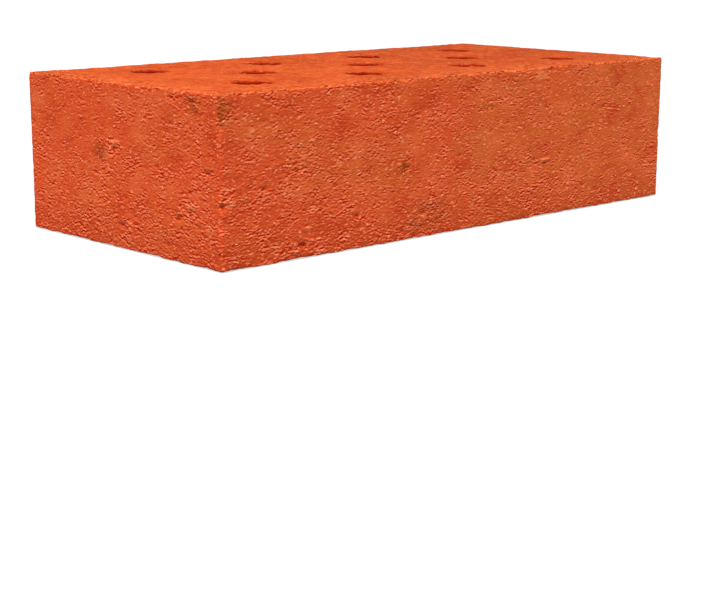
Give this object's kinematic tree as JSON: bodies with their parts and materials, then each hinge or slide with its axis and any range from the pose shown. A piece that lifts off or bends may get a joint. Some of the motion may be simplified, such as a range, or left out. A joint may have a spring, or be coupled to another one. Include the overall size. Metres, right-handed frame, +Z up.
{
  "type": "clay brick",
  "caption": "Orange-red extruded clay brick with staggered rows of round holes through its bed faces, for laying in mortar.",
  "frame": {"origin": "centre of the lower bed face", "axes": "+X along the length, +Y across the width, +Z up, square to the bed faces and along the holes"},
  "size_m": [0.25, 0.12, 0.062],
  "materials": {
    "fired_clay": "matte"
  },
  "bodies": {
    "root": {"brick": "fired_clay"}
  },
  "joints": []
}
